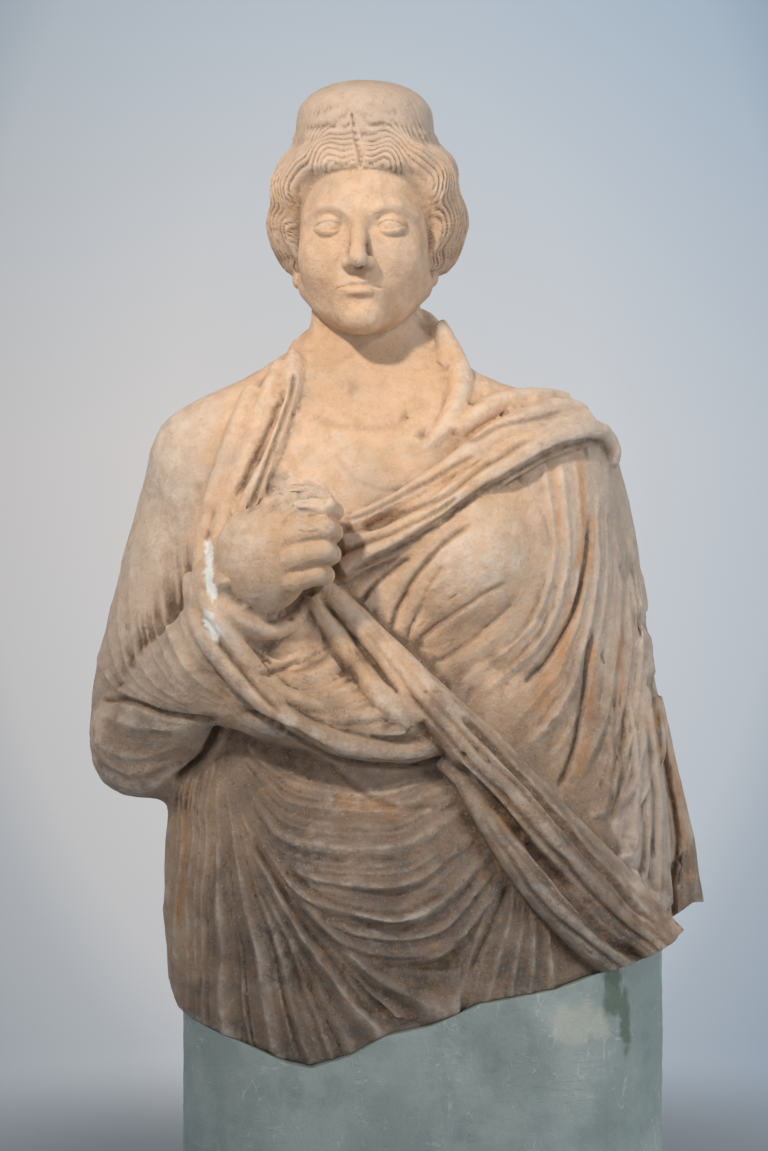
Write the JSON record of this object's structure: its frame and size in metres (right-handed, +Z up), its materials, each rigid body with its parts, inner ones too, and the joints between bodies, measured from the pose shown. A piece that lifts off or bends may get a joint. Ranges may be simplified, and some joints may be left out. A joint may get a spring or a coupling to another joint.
{
  "type": "stone bust",
  "caption": "Broken half-length marble figure in a wrapped mantle, right hand closed on the cloth, seated on a plaster support drum cut to its broken underside.",
  "frame": {"origin": "centre of the flat underside of the plaster support", "axes": "+Z up, the figure faces -Y, +X to the visitor's right"},
  "size_m": [0.6656, 0.3638, 1.1897],
  "materials": {
    "marble": "matte",
    "plaster": "matte"
  },
  "bodies": {
    "root": {"marble_figure": "marble", "plaster_support": "plaster"}
  },
  "joints": []
}
